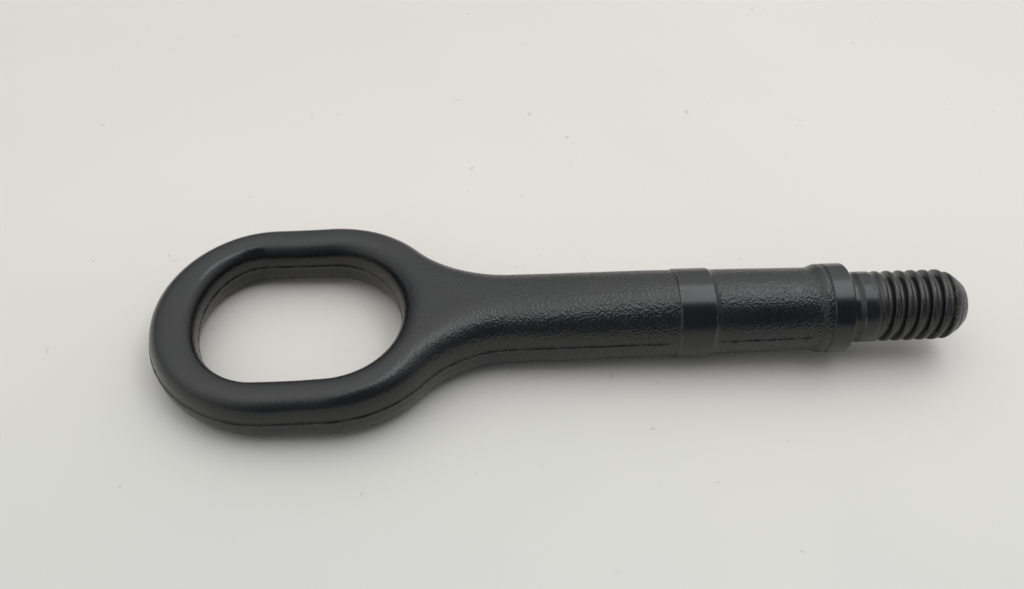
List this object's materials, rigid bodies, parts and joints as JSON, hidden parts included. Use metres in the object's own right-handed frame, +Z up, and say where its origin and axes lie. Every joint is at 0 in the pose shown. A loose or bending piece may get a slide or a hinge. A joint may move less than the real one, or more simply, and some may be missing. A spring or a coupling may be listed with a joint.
{
  "type": "tow eye",
  "caption": "Screw-in tow eye: forged loop and shank with a turned guide band, a shoulder collar and a left-hand threaded end.",
  "frame": {"origin": "centre of the shoulder face of the collar, on the axis of the thread", "axes": "+X along the thread to its tip, the eye lies in the XY plane, +Z up through the opening of the eye"},
  "size_m": [0.2033, 0.0628, 0.0226],
  "materials": {
    "forged_black": "thin semi-gloss black coat over forged and turned steel, worn to grey on the thread crests and the tip"
  },
  "bodies": {
    "root": {"tow_eye": "forged_black"}
  },
  "joints": []
}
